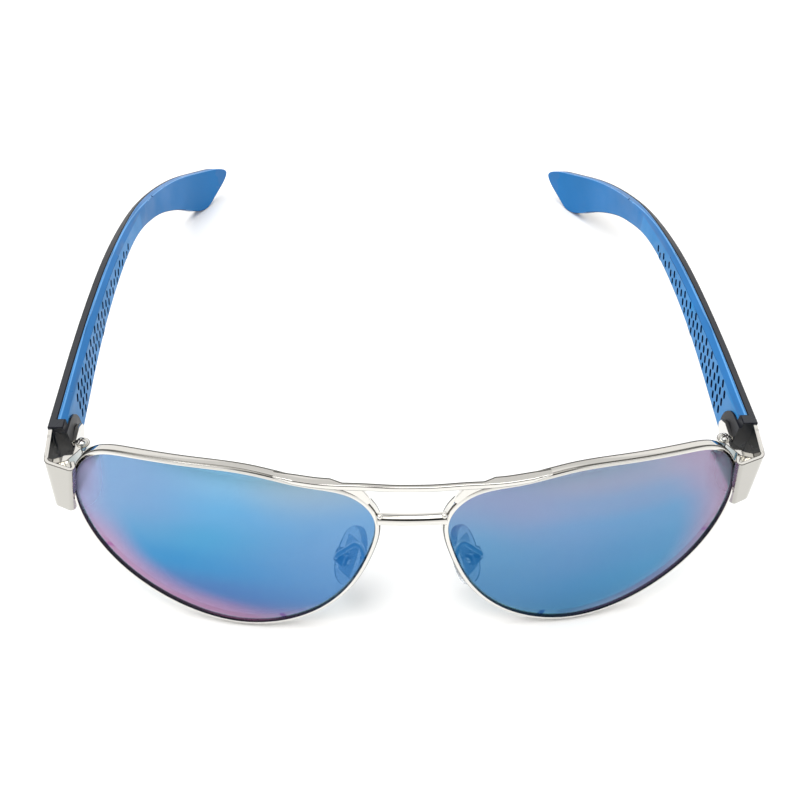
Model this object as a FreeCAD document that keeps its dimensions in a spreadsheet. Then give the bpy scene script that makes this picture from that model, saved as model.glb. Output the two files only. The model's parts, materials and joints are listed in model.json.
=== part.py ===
"""Double-bridge metal sunglasses with folding two-layer temples.

The frame of the part: X to the wearer's left, Y back along the temples, Z up, in millimetres.
The origin is on the ground, at the middle of the outer box. The glasses stand open on the
lower edges of the rims and on the temple tips.

Points are written in the front frame, whose Y is measured from the lens apex: every piece is
then moved back by the cell front_y. The wearer's left side is modelled and the right mirrors it.
"""
import FreeCAD, Part
import math
import os

V = FreeCAD.Vector

doc = FreeCAD.newDocument("sunglasses")

# ---------------------------------------------------------------- driving dimensions
DIMENSIONS = {
    "front_y": -79.24,       # lens apex plane in the part's frame
    "lens_x": 38.93,         # lens centre from the middle plane
    "lens_z": 21.225,         # lens centre above the ground
    "face_angle": 10.11,     # each lens turned back towards the temple, degrees
    "lean_angle": 13.65,     # front leaning back while it stands, degrees
    "lens_radius": 88.0,     # outer radius of the six-base lens
    "lens_thickness": 1.4,
    "prism_height": 24.0,    # edging depth, more than the lens curve needs
    "rim_wall": 0.4,         # metal in front of and behind the lens edge
    "rim_outside": 0.95,     # metal outside the rim's opening
    "rim_lip": 0.05,         # metal inside the drawn opening
    "lens_seat": 0.30,       # depth of the lens edge in the rim, from the drawn opening
    "seat_gap": 0.02,
    "slit": 0.25,            # the rim is split where its closing block clamps it
    "brow_depth": 3.0,
    "brow_plane": 0.6,       # Y of the plane of the front's upper edge, at lens_z
    "bridge_radius": 1.25,
    "sheet": 0.8,            # endpiece sheet
    "endpiece_top": 35.6,
    "endpiece_bottom": 20.3,
    "hinge_x": 67.1,
    "hinge_y": 20.8,
    "knuckle_radius": 1.55,
    "screw_radius": 0.70,
    "running_gap": 0.04,     # radial play of a turning eye on its screw
    "knuckle_low": 25.6,
    "knuckle_step_low": 27.6,
    "knuckle_step_high": 30.0,
    "knuckle_high": 31.4,
    "knuckle_gap": 0.06,     # play between the faces of two knuckles
    "temple_front": 21.05,
    "inlay_front": 23.6,
    "shell_thickness": 1.6,
    "tip_shell": 0.7,
    "temple_thickness": 3.2,
    "tip_thickness": 2.6,
    "inlay_bevel": 1.0,
    "hole_depth": 0.75,
    "hole_length": 1.7,
    "hole_width": 0.85,
    "pad_length": 14.0,
    "pad_width": 7.6,
    "pad_thickness": 1.9,
    "arm_radius": 0.55,
    "pad_screw_radius": 0.40,
    "mould_width": 60.0,     # extrusion length of the temple's side profile
}

dims = doc.addObject("Spreadsheet::Sheet", "dims")
for row, (alias, value) in enumerate(DIMENSIONS.items(), 1):
    dims.set(f"A{row}", alias)
    dims.set(f"B{row}", str(value))
    dims.setAlias(f"B{row}", alias)
doc.recompute()


def size(alias):
    return float(dims.get(alias))


# ---------------------------------------------------------------- frames
DATUM = "create(<<placement>>; create(<<vector>>; 0; dims.front_y; 0); create(<<rotation>>; 0; 0; 0))"
LENS = ("create(<<placement>>; create(<<vector>>; dims.lens_x; dims.front_y; dims.lens_z);"
        " create(<<rotation>>; dims.face_angle; 0; 90 - dims.lean_angle))")
BROW = ("create(<<placement>>; create(<<vector>>; 0; dims.front_y + dims.brow_plane; dims.lens_z);"
        " create(<<rotation>>; 0; 0; 90 - dims.lean_angle))")
# a ball about the lens's centre of curvature, with its poles and seam away from the lens
BALL = (LENS + " * create(<<placement>>; create(<<vector>>; 0; 0; -dims.lens_radius);"
        " create(<<rotation>>; 0; 90; 90))")


def new(kind, label):
    item = doc.addObject(kind, label)
    item.Label = label
    return item


def bind(item, **expressions):
    for name, expression in expressions.items():
        item.setExpression(name.replace("__", "."), expression)
    return item


def body(label, frame=DATUM):
    return bind(new("PartDesign::Body", label), Placement=frame)


def sketch(owner, role, edges):
    drawing = owner.newObject("Sketcher::SketchObject", owner.Name + "_sketch")
    plane = next(f for f in owner.Origin.OriginFeatures if f.Role == role)
    drawing.AttachmentSupport = [(plane, "")]
    drawing.MapMode = "FlatFace"
    for edge in edges:
        drawing.addGeometry(edge, False)
    return drawing


def pad(owner, drawing, length, symmetric=False, backwards=False, drop=None):
    """An extrusion of the sketch, whose length is an expression."""
    feature = owner.newObject("PartDesign::Pad", owner.Name + "_pad")
    feature.Profile = drawing
    feature.SideType = "Symmetric" if symmetric else "One side"
    feature.Reversed = backwards
    bind(feature, Length=length)
    if drop:
        bind(drawing, AttachmentOffset__Base__z=drop)
    return feature


def combine(kind, label, base, tool):
    joined = new(kind, label)
    joined.Base = base
    joined.Tool = tool
    return joined


def cut(label, base, *tools):
    for index, tool in enumerate(tools):
        last = index == len(tools) - 1
        base = combine("Part::Cut", label if last else f"{label}_cut{index}", base, tool)
    return base


def common(label, base, tool):
    return combine("Part::Common", label, base, tool)


def fuse(label, base, *tools):
    for index, tool in enumerate(tools):
        last = index == len(tools) - 1
        base = combine("Part::Fuse", label if last else f"{label}_fuse{index}", base, tool)
    return base


def ready(*items):
    """Recomputed objects, for a cut that needs their shapes."""
    doc.recompute()
    return items[0] if len(items) == 1 else items


def feature(label, shape, frame=None):
    """A shape made with Part's own functions, in the front frame."""
    item = new("Part::Feature", label)
    item.Shape = shape
    bind(item, Placement=frame or DATUM)
    return item


def mirrored(label, source):
    other = new("Part::Mirroring", label)
    other.Source = source
    other.Normal = (1, 0, 0)
    return other


def spline(points, closed=False):
    curve = Part.BSplineCurve()
    curve.interpolate(Points=[V(*p) for p in points], PeriodicFlag=closed)
    return curve


def pieces(points, splits):
    """One smooth curve through the points, divided into edges at some of them."""
    whole = spline(points)
    ends = [whole.parameter(V(*points[index])) for index in splits]
    stops = [whole.FirstParameter] + ends + [whole.LastParameter]
    edges = []
    for start, stop in zip(stops, stops[1:]):
        part = whole.copy()
        part.segment(start, stop)
        edges.append(part)
    return edges


def polygon(points):
    """Straight edges round a closed flat outline."""
    corners = [V(x, y, 0) for x, y in points]
    return [Part.LineSegment(a, b) for a, b in zip(corners, corners[1:] + corners[:1])]


# ---------------------------------------------------------------- lenses and rims
# lens edge seen square on, x outwards and y up from the lens centre
LENS_EDGE = [
    (30.2, 7.5), (29.2, 12.4), (25.1, 16.8), (17.5, 18.7), (5.2, 19.5), (-6.8, 19.3),
    (-17.4, 17.2), (-26.2, 14.7), (-30.7, 8.9), (-30.0, 1.6), (-26.6, -6.7), (-20.9, -13.6),
    (-12.7, -18.3), (-3.4, -19.8), (6.0, -17.8), (15.8, -12.9), (24.3, -5.7), (28.8, 1.4),
]
SAMPLES = 54


def outline(offset):
    """The lens edge moved outwards by an offset, as one closed curve."""
    curve = spline([(x, y, 0) for x, y in LENS_EDGE], closed=True)
    if not offset:
        return curve
    first, last = curve.FirstParameter, curve.LastParameter
    moved = []
    for index in range(SAMPLES):
        at = first + (last - first) * index / SAMPLES
        along = curve.tangent(at)[0]
        moved.append(curve.value(at) + V(along.y, -along.x, 0) * offset)
    return spline([(p.x, p.y, 0) for p in moved], closed=True)


def shell(label, outer, inner):
    balls = []
    for name, radius in (("outer", outer), ("inner", inner)):
        ball = new("Part::Sphere", f"{label}_{name}")
        balls.append(bind(ball, Radius=radius, Placement=BALL))
    return cut(label, *balls)


def prism(label, *offsets):
    blank = body(label, LENS)
    drawing = sketch(blank, "XY_Plane", [outline(offset) for offset in offsets])
    pad(blank, drawing, "dims.prism_height", symmetric=True)
    return blank


def lens_and_rim():
    back = "dims.lens_radius - dims.lens_thickness"
    lens_shell = shell("lens_shell", "dims.lens_radius", back)
    lens = common("left_lens", prism("lens_prism", size("lens_seat")), lens_shell)

    groove_shell = shell("groove_shell", "dims.lens_radius + dims.seat_gap", back + " - dims.seat_gap")
    groove = common("groove", prism("groove_prism", size("lens_seat") + size("seat_gap")), groove_shell)

    rim_shell = shell("rim_shell", "dims.lens_radius + dims.rim_wall", back + " - dims.rim_wall")
    ring = prism("rim_prism", size("rim_outside"), -size("rim_lip"))
    ring_curved = common("rim_ring", ring, rim_shell)

    slit = new("Part::Box", "rim_slit")
    at_lock = " * create(<<placement>>; create(<<vector>>; 28; 5.9; -12); create(<<rotation>>; 0; 0; 0))"
    bind(slit, Length="8", Width="dims.slit", Height="dims.prism_height", Placement=LENS + at_lock)
    rim = cut("left_rim", ring_curved, groove, slit)

    envelope = common("rim_envelope", prism("envelope_prism", size("rim_outside")), rim_shell)
    return lens, rim, envelope


# ---------------------------------------------------------------- brow bar and lower bridge
# half outlines in the plane of the front: x from the middle, y up from the lens centre
BROW_LOW = [(0, 15.2), (4.5, 15.3), (9.5, 15.65), (14.4, 15.95), (18.6, 16.45), (22.8, 17.3), (26.6, 18.65)]
BROW_HIGH = [(26.6, 18.9), (22.8, 18.3), (18.6, 17.5), (14.4, 17.1), (9.5, 16.85), (4.5, 16.45), (0, 16.35)]
# half outline from above: x from the middle, y towards the front
BROW_FRONT = [(0, 1.0), (22.9, 1.0), (26.6, 0.35)]
BROW_BACK = [(26.6, -1.5), (15.3, -1.5), (13.9, -0.3), (0, -0.3)]
# the web under each end of the free span, which ties the bar to the rim's shoulder
WEB = [(14.8, 16.3), (9.9, 15.9), (9.1, 14.7), (8.2, 13.4), (7.9, 12.1), (9.2, 11.2), (14.8, 12.8)]


def both_halves(low, high):
    """A closed curved outline from the two edges of its right half."""
    left_low = [(-x, y) for x, y in reversed(low[1:])]
    left_high = [(-x, y) for x, y in reversed(high[:-1])]
    lower = left_low + low
    upper = high + left_high
    edges = [spline([(x, y, 0) for x, y in lower]), spline([(x, y, 0) for x, y in upper])]
    for a, b in ((lower[-1], upper[0]), (upper[-1], lower[0])):
        edges.append(Part.LineSegment(V(*a, 0), V(*b, 0)))
    return edges


def brow_bar(left_envelope, right_envelope):
    face = body("brow_face", BROW)
    pad(face, sketch(face, "XY_Plane", both_halves(BROW_LOW, BROW_HIGH)), "2 * dims.brow_depth", symmetric=True)
    plan = body("brow_plan", BROW)
    half = BROW_FRONT + BROW_BACK[:-1]
    other = [(-x, y) for x, y in reversed(half)]
    points = half + [(0, BROW_BACK[-1][1])] + other[:-1]
    # this sketch's y runs along the body's z, towards the front
    pad(plan, sketch(plan, "XZ_Plane", polygon(points)), "2 * dims.prism_height", symmetric=True)
    bar = common("brow_strip", face, plan)
    webs = []
    for side, sign in (("left", 1), ("right", -1)):
        web = body(f"{side}_web", BROW)
        pad(web, sketch(web, "XY_Plane", polygon([(sign * x, y) for x, y in WEB])), "1.1", backwards=True)
        webs.append(web)
    whole = fuse("brow_whole", bar, *webs)
    return cut("brow_bar", whole, left_envelope, right_envelope)


def pipe(points, radius, bend):
    """A round bar along straight runs joined by tangent arcs."""
    nodes = [V(*p) for p in points]
    edges = []
    start = nodes[0]
    for before, corner, after in zip(nodes, nodes[1:], nodes[2:]):
        into = (corner - before).normalize()
        out = (after - corner).normalize()
        half_turn = into.getAngle(out) / 2
        setback = bend * math.tan(half_turn)
        first = corner - into * setback
        last = corner + out * setback
        inward = (out - into).normalize()
        middle = corner + inward * (bend / math.cos(half_turn) - bend)
        edges.append(Part.LineSegment(start, first).toShape())
        edges.append(Part.Arc(first, middle, last).toShape())
        start = last
    edges.append(Part.LineSegment(start, nodes[-1]).toShape())
    path = Part.Wire(edges)
    along = (nodes[1] - nodes[0]).normalize()
    section = Part.Wire([Part.makeCircle(radius, nodes[0], along)])
    return path.makePipeShell([section], True, True)


BRIDGE_RISE = 7.95      # height of its ends above the lens centre, in the plane of the front
BRIDGE_SAG = 0.3
BRIDGE_SPAN = 9.0
BRIDGE_DEPTH = -0.2     # its axis, from the plane of the front


def bridge(left_envelope, right_envelope):
    ends = [V(sign * BRIDGE_SPAN, BRIDGE_RISE, BRIDGE_DEPTH) for sign in (-1, 1)]
    path = Part.Wire([Part.Arc(ends[0], V(0, BRIDGE_RISE - BRIDGE_SAG, BRIDGE_DEPTH), ends[1]).toShape()])
    along = path.Edges[0].tangentAt(path.Edges[0].FirstParameter)
    section = Part.Wire([Part.makeCircle(size("bridge_radius"), ends[0], along)])
    bar = feature("bridge_bar", path.makePipeShell([section], True, True), BROW)
    return cut("bridge", bar, left_envelope, right_envelope)


# ---------------------------------------------------------------- endpiece
# the outer face of the sheet from above: return flange, inner edge, outer corner, rear end
TOP_PATH = [(65.8, 12.5), (64.4, 9.15), (71.7, 12.1), (72.8, 20.6)]
BOTTOM_PATH = [(69.0, 13.1), (67.8, 10.85), (73.7, 13.5), (74.1, 20.6)]
EDGE_BENDS = (0.95, 2.0)


def strip(path, thickness, bends):
    """The closed outline of a bent sheet: its outer face, and the face one thickness inside."""
    def offset_point(a, corner, b, distance):
        into = (corner - a).normalize()
        out = (b - corner).normalize()
        left_in, left_out = V(-into.y, into.x, 0), V(-out.y, out.x, 0)
        scale = distance / (1 + left_in.dot(left_out))
        return corner + (left_in + left_out) * scale

    nodes = [V(x, y, 0) for x, y in path]
    first = (nodes[1] - nodes[0]).normalize()
    last = (nodes[-1] - nodes[-2]).normalize()
    inner = [nodes[0] + V(-first.y, first.x, 0) * thickness]
    inner += [offset_point(a, c, b, thickness) for a, c, b in zip(nodes, nodes[1:], nodes[2:])]
    inner.append(nodes[-1] + V(-last.y, last.x, 0) * thickness)

    def rounded(line, radii):
        edges, start = [], line[0]
        for before, corner, after, radius in zip(line, line[1:], line[2:], radii):
            into, out = (corner - before).normalize(), (after - corner).normalize()
            half_turn = into.getAngle(out) / 2
            setback = radius * math.tan(half_turn)
            a, b = corner - into * setback, corner + out * setback
            middle = corner + (out - into).normalize() * (radius / math.cos(half_turn) - radius)
            edges += [Part.LineSegment(start, a), Part.Arc(a, middle, b)]
            start = b
        edges.append(Part.LineSegment(start, line[-1]))
        return edges

    tight = [radius - thickness for radius in bends]
    edges = rounded(nodes, bends) + [Part.LineSegment(nodes[-1], inner[-1])]
    edges += rounded(inner[::-1], tight[::-1]) + [Part.LineSegment(inner[0], nodes[0])]
    return edges


def endpiece(envelope):
    sheet = body("endpiece_sheet")
    low = sketch(sheet, "XY_Plane", strip(BOTTOM_PATH, size("sheet"), EDGE_BENDS))
    bind(low, AttachmentOffset__Base__z="dims.endpiece_bottom")
    high = sketch(sheet, "XY_Plane", strip(TOP_PATH, size("sheet"), EDGE_BENDS))
    bind(high, AttachmentOffset__Base__z="dims.endpiece_top")
    loft = sheet.newObject("PartDesign::AdditiveLoft", "endpiece_loft")
    loft.Profile = high
    loft.Sections = [low]
    loft.Ruled = True
    return cut("left_endpiece", sheet, envelope)


# ---------------------------------------------------------------- screws
def revolved(label, profile, frame=DATUM):
    """A turned piece: profile points are (radius, height), closed along the axis."""
    turned = body(label, frame)
    drawing = sketch(turned, "XZ_Plane", polygon([(0, profile[0][1])] + profile + [(0, profile[-1][1])]))
    spin = turned.newObject("PartDesign::Revolution", label + "_spin")
    spin.Profile = drawing
    spin.ReferenceAxis = (drawing, ["V_Axis"])
    spin.Angle = 360
    return turned


def screw(label, radius, head, bottom, seat, frame, slots=2):
    """A screw with a low domed head and driver slots, its head at the top."""
    dome = [(head, seat), (head, seat + 0.4), (head * 0.8, seat + 0.65), (head * 0.4, seat + 0.78)]
    profile = [(radius - 0.15, bottom), (radius, bottom + 0.15), (radius, seat)] + dome
    shank = revolved(label if not slots else label + "_blank", profile, frame)
    tools = []
    for index in range(slots):
        slot = new("Part::Box", f"{label}_slot{index}")
        bind(slot, Length=str(head * 1.5), Width=str(head * 0.26), Height="1")
        turn = f"create(<<rotation>>; {90 * index + 25}; 0; 0)"
        centre = "create(<<placement>>; create(<<vector>>; %s; %s; %s); create(<<rotation>>; 0; 0; 0))" % (
            -head * 0.75, -head * 0.13, seat + 0.4)
        placed = f"{frame} * create(<<placement>>; create(<<vector>>; 0; 0; 0); {turn}) * {centre}"
        bind(slot, Placement=placed)
        tools.append(slot)
    return cut(label, shank, *tools) if tools else shank


# ---------------------------------------------------------------- rim closing block
LOCK_X, LOCK_Y = 69.7, 14.0
LOCK_SPLIT = 27.0
LOCK_HALF = 2.4


def at(x, y, z):
    return DATUM + f" * create(<<placement>>; create(<<vector>>; {x}; {y}; {z}); create(<<rotation>>; 0; 0; 0))"


def rim_lock(envelope, sheet):
    """Two blocks soldered to the rim's ends, drawn together by one screw."""
    blocks = []
    bore = new("Part::Cylinder", "lock_bore")
    bind(bore, Radius="0.52", Height="10", Placement=at(LOCK_X, LOCK_Y, LOCK_SPLIT - 5))
    for label, low in (("left_lock_upper", LOCK_SPLIT + 0.125), ("left_lock_lower", LOCK_SPLIT - 0.125 - LOCK_HALF)):
        block = new("Part::Box", label + "_block")
        bind(block, Length="3.5", Width="2.6", Height=str(LOCK_HALF), Placement=at(LOCK_X - 2.4, LOCK_Y - 1.2, low))
        blocks.append(cut(label, block, envelope, sheet, bore))
    turned = " * create(<<placement>>; create(<<vector>>; 0; 0; 0); create(<<rotation>>; 0; 180; 0))"
    down = at(LOCK_X, LOCK_Y, LOCK_SPLIT) + turned
    fastener = screw("left_lock_screw", 0.5, 0.85, -2.3, LOCK_HALF + 0.15, down, slots=1)
    return blocks + [fastener]


# ---------------------------------------------------------------- hinge
def cylinder(label, radius, low, high):
    """A cylinder on the hinge axis; every value is an expression."""
    rod = new("Part::Cylinder", label)
    frame = ("create(<<placement>>; create(<<vector>>; dims.hinge_x; dims.front_y + dims.hinge_y; %s);"
             " create(<<rotation>>; 0; 0; 0))" % low)
    return bind(rod, Radius=radius, Height=f"{high} - ({low})", Placement=frame)


FRONT_ARM = [(66.5, 19.9), (67.9, 20.5), (70.2, 17.2), (72.5, 16.25), (72.25, 14.95), (69.1, 16.0)]
TONGUE = [(68.7, 22.1), (69.6, 21.5), (69.6, 27.4), (68.7, 27.4)]
TEMPLE_WEB = [(67.1, 22.3), (67.1, 20.8), (68.6, 20.8), (69.6, 21.5), (69.6, 23.6)]


def plate(label, points, low, high):
    leaf = body(label)
    drawing = sketch(leaf, "XY_Plane", polygon(points))
    pad(leaf, drawing, f"{high} - {low}", drop=low)
    return leaf


def front_hinge(sheet):
    """Two knuckles on one bracket, soldered inside the endpiece."""
    outer = "dims.knuckle_radius"
    low = cylinder("knuckle_low", outer, "dims.knuckle_low", "dims.knuckle_step_low")
    high = cylinder("knuckle_high", outer, "dims.knuckle_step_high", "dims.knuckle_high")
    arm = plate("hinge_arm", FRONT_ARM, "dims.knuckle_low", "dims.knuckle_high")
    room = cylinder("knuckle_room", outer + " + 0.2", "dims.knuckle_step_low", "dims.knuckle_step_high")
    bore = cylinder("front_bore", "dims.screw_radius + dims.seat_gap", "dims.knuckle_low - 1", "dims.knuckle_high + 1")
    whole = fuse("front_hinge_whole", arm, low, high)
    return cut("left_front_hinge", whole, room, bore, sheet)


def temple_hinge():
    """The knuckle, its tongue on the temple's inner face and the anchor moulded into the temple."""
    low = "(dims.knuckle_step_low + dims.knuckle_gap)"
    high = "(dims.knuckle_step_high - dims.knuckle_gap)"
    knuckle = cylinder("temple_knuckle", "dims.knuckle_radius - 0.05", low, high)
    web = plate("temple_web", TEMPLE_WEB, low, high)
    tongue = body("temple_tongue")
    side = [(21.5, 26.9), (25.4, 26.7), (27.4, 27.9), (27.9, 29.0), (27.4, 30.2), (25.4, 31.2), (21.5, 30.8)]
    pad(tongue, sketch(tongue, "YZ_Plane", polygon(side)), "dims.mould_width * 2")
    shape = common("tongue_leaf", tongue, plate("tongue_plan", [(x, y + (0.6 if y > 27 else 0)) for x, y in TONGUE],
                                                "20", "40"))
    anchor = new("Part::Box", "temple_anchor")
    bind(anchor, Length="1.3", Width="2.6", Height="1.9", Placement=at(69.55, 23.6, 27.9))
    bore = cylinder("temple_bore", "dims.screw_radius + dims.running_gap", low + " - 1", high + " + 1")
    whole = fuse("temple_hinge_whole", knuckle, web, shape, anchor)
    return cut("left_temple_hinge", whole, bore)


def hinge_screw():
    frame = "create(<<placement>>; create(<<vector>>; dims.hinge_x; dims.front_y + dims.hinge_y; 0); create(<<rotation>>; 0; 0; 0))"
    return screw("left_hinge_screw", size("screw_radius"), 1.15, size("knuckle_low") + 0.25, size("knuckle_high"), frame)


# ---------------------------------------------------------------- temple
# outline of the temple from the side, from the front end's top, round the tip and back below
SIDE = [
    (20.0, 35.8), (42.0, 35.2), (63.8, 34.2), (84.0, 32.7), (99.5, 30.4), (112.0, 27.7), (123.7, 24.4),
    (136.0, 20.4), (147.0, 16.4), (156.0, 12.9), (160.6, 10.9), (162.6, 8.8), (161.4, 5.7), (157.6, 2.2),
    (154.2, 0.05), (151.2, 0.6), (146.0, 4.1), (136.0, 10.8), (126.0, 16.2), (116.2, 20.2), (105.0, 24.0),
    (93.7, 26.2), (78.0, 27.1), (60.7, 27.0), (42.0, 25.9), (20.0, 24.3),
]
# the temple's outer face from above
PLAN = [
    (19.0, 73.0), (42.0, 73.95), (63.8, 74.6), (84.0, 74.7), (99.5, 74.4), (112.0, 73.9), (123.7, 72.9),
    (136.0, 71.0), (145.2, 68.5), (155.0, 63.7), (166.0, 55.4),
]
SIDE_SPLITS = (5, 9, 14, 19)     # points where the outline is divided into separate edges
THIN_FROM, THIN_TO = 88.0, 126.0


def between(y, first, last):
    """A value eased from one end of the thinning to the other."""
    share = min(max((y - THIN_FROM) / (THIN_TO - THIN_FROM), 0), 1)
    return first + (last - first) * share * share * (3 - 2 * share)


def shell_depth(y):
    return between(y, size("shell_thickness"), size("tip_shell"))


def full_depth(y):
    return between(y, size("temple_thickness"), size("tip_thickness"))


def inward(depth):
    """The outer face moved in by a depth that depends on y."""
    curve = spline([(x, y, 0) for y, x in PLAN])
    moved = []
    for y, x in PLAN:
        along = curve.tangent(curve.parameter(V(x, y, 0)))[0]
        moved.append((x - along.y * depth(y), y + along.x * depth(y), 0))
    return moved


def plan_strip(label, outer, inner):
    strip_body = body(label)
    a, b = inward(outer), inward(inner)
    edges = [spline(a), Part.LineSegment(V(*a[-1]), V(*b[-1])), spline(b[::-1]), Part.LineSegment(V(*b[0]), V(*a[0]))]
    pad(strip_body, sketch(strip_body, "XY_Plane", edges), "dims.mould_width")
    return strip_body


def slab(label, x0, x1, y0, y1, z0=-5.0, z1=55.0):
    block = new("Part::Box", label)
    return bind(block, Length=str(x1 - x0), Width=f"{y1} - ({y0})", Height=str(z1 - z0), Placement=at(x0, y0, z0))


def boss():
    """The arch-shaped boss that carries the hinge tongue."""
    arch = body("temple_boss")
    points = [V(y, z, 0) for y, z in ((20.5, 25.4), (26.2, 25.4), (28.6, 26.5), (29.4, 28.6), (28.9, 31.0),
                                      (27.5, 32.8), (25.4, 33.9), (20.5, 34.4))]
    arch_edges = [Part.LineSegment(points[0], points[1]), spline([(p.x, p.y, 0) for p in points[1:7]]),
                  Part.LineSegment(points[6], points[7]), Part.LineSegment(points[7], points[0])]
    pad(arch, sketch(arch, "YZ_Plane", arch_edges), "dims.mould_width * 2")
    return arch


def perforation():
    """Staggered slots, slanted with the rows, through the inner face where the panel is tall."""
    top = spline([(y, z, 0) for y, z in SIDE[:12]])
    low = spline([(y, z, 0) for y, z in SIDE[15:]])

    def height(curve, y):
        return curve.intersect(Part.Line(V(y, 0, 0), V(y, 1, 0)))[0].Y

    length, width = size("hole_length"), size("hole_width")
    reach = (length - width) / 2
    tools = []
    for row in range(8):
        for column in range(15):
            y = 25.6 + 4.8 * column + 2.4 * (row % 2)
            z = height(top, y) - 2.0 - 1.15 * row - max(0, y - 58) * 0.04
            if z < height(low, y) + 0.75 or y > 96 or (y < 31.3 and z < 34.6):
                continue
            slope = V(0, math.cos(math.radians(55)), math.sin(math.radians(55)))
            across = V(0, -slope.z, slope.y)
            centre = V(60, y, z)
            a, b = centre - slope * reach, centre + slope * reach
            edges = [Part.LineSegment(a + across * width / 2, b + across * width / 2).toShape(),
                     Part.Arc(b + across * width / 2, b + slope * width / 2, b - across * width / 2).toShape(),
                     Part.LineSegment(b - across * width / 2, a - across * width / 2).toShape(),
                     Part.Arc(a - across * width / 2, a - slope * width / 2, a + across * width / 2).toShape()]
            tools.append(Part.Face(Part.Wire(edges)).extrude(V(20, 0, 0)))
    return feature("slots", Part.makeCompound(tools))


def temple(leaf):
    side = body("temple_side")
    edges = pieces([(y, z, 0) for y, z in SIDE], SIDE_SPLITS)
    edges.append(Part.LineSegment(V(*SIDE[-1], 0), V(*SIDE[0], 0)))
    pad(side, sketch(side, "YZ_Plane", edges), "dims.mould_width * 2")
    outer_plan = plan_strip("shell_plan", lambda y: 0, shell_depth)
    inner_plan = plan_strip("inlay_plan", shell_depth, full_depth)
    whole_plan = plan_strip("boss_plan", lambda y: 0.5, lambda y: full_depth(y) + 0.45)
    butt_plan = plan_strip("butt_plan", lambda y: 0.5, full_depth)
    face_plan = plan_strip("face_plan", lambda y: full_depth(y) - size("hole_depth"), lambda y: full_depth(y) + 1)

    front = slab("front_clearance", 60, 80, 0, "dims.temple_front")
    lead = slab("lead_block", 60, 80, "dims.temple_front - 1", "dims.inlay_front")
    outer = common("shell_outer", side, outer_plan)
    butt = common("shell_butt", common("butt_blank", side, butt_plan), lead)
    arch = common("shell_boss", boss(), whole_plan)
    shell_whole = fuse("shell_whole", outer, butt, arch)
    shell_part = cut("left_temple_shell", shell_whole, front, leaf)

    blank = common("inlay_blank", side, inner_plan)
    holes = common("slot_tools", perforation(), face_plan)
    ahead = slab("inlay_clearance", 60, 80, 0, "dims.inlay_front")
    inlay = cut("left_temple_inlay", blank, ahead, arch, bevel(), holes)
    return shell_part, inlay


def bevel():
    """A wedge along the inlay's top inner edge."""
    top_points = [p for p in SIDE[:9]]
    inner = inward(full_depth)
    curve = spline([(x, y, 0) for x, y, z in inner])
    top = spline([(y, z, 0) for y, z in top_points])
    size_now = size("inlay_bevel")
    sections = []
    for y in (22.0, 42.0, 63.8, 84.0, 99.5, 112.0, 122.0):
        x = curve.intersect(Part.Line(V(0, y, 0), V(1, y, 0)))[0].X
        z = top.intersect(Part.Line(V(y, 0, 0), V(y, 1, 0)))[0].Y
        scale = size_now * (1 if y < 100 else max(0.05, 1 - (y - 100) / 22.5))
        corner = V(x, y, z)
        points = [corner + V(-2, 0, -scale), corner + V(0, 0, -scale), corner + V(scale * 1.15, 0, 0),
                  corner + V(scale * 1.15, 0, 2), corner + V(-2, 0, 2)]
        sections.append(Part.makePolygon(points + points[:1]))
    return feature("bevel_tool", Part.makeLoft(sections, True, False))


# ---------------------------------------------------------------- nose pads
PAD_CENTRE = V(12.1, 5.6, 11.9)
PAD_UP = V(-0.298, 0.440, 0.851)
PAD_ACROSS = V(0.598, 0.778, -0.192)
BOX_SETBACK = 2.0       # screw axis behind the pad's middle plane


def pad_frame():
    """x along the pad, y across it, z towards the nose."""
    up = V(PAD_UP).normalize()
    face = up.cross(PAD_ACROSS).normalize()
    across = face.cross(up)
    return FreeCAD.Placement(PAD_CENTRE, FreeCAD.Rotation(up, across, face, "ZXY"))


def in_pad_frame(shape):
    shape.Placement = pad_frame()
    return shape


def rounded_block(length, width, height, x=0.0, y=0.0, z=0.0, radius=0.0):
    block = Part.makeBox(length, width, height, V(x - length / 2, y - width / 2, z - height / 2))
    if radius:
        block = block.makeFillet(radius, block.Edges)
    return block


def rod(radius, y0, y1, z=0.0):
    return Part.makeCylinder(radius, y1 - y0, V(0, y0, z), V(0, 1, 0))


def pad_blank():
    """A D-shaped cushion, fuller at the lower end."""
    length, width, thick = size("pad_length"), size("pad_width"), size("pad_thickness")
    edge = [(length * a, width * b, 0) for a, b in
            ((0.5, 0.02), (0.40, 0.34), (0.12, 0.5), (-0.22, 0.48), (-0.45, 0.28), (-0.5, -0.04),
             (-0.42, -0.33), (-0.14, -0.5), (0.20, -0.45), (0.43, -0.25))]
    face = Part.Face(Part.Wire([spline(edge, closed=True).toShape()]))
    slab_shape = face.extrude(V(0, 0, thick))
    slab_shape.translate(V(0, 0, -thick / 2))
    return slab_shape.makeFillet(thick * 0.38, slab_shape.Edges)


def nose_pad():
    axis = -BOX_SETBACK
    core = rounded_block(8.6, 4.2, 0.6, z=-0.15, radius=0.2)
    stem = rounded_block(1.7, 1.3, BOX_SETBACK - 0.3, z=-(BOX_SETBACK + 0.3) / 2 + 0.0)
    eye = rod(0.85, -0.65, 0.65, axis)
    hole = rod(size("pad_screw_radius") + size("running_gap"), -1, 1, axis)
    core_shape = core.fuse([stem, eye]).cut(hole).removeSplitter()
    cushion = pad_blank().cut(core.fuse([stem, eye]))
    soft = feature("left_nose_pad", in_pad_frame(cushion))
    hard = feature("left_pad_core", in_pad_frame(core_shape))
    return place_pad(soft), place_pad(hard)


def place_pad(item):
    frame = pad_frame()
    q = frame.Rotation.getYawPitchRoll()
    base = frame.Base
    bind(item, Placement="create(<<placement>>; create(<<vector>>; %s; %s + dims.front_y; %s);"
         " create(<<rotation>>; %s; %s; %s))" % (base.x, base.y, base.z, *q))
    return item


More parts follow.
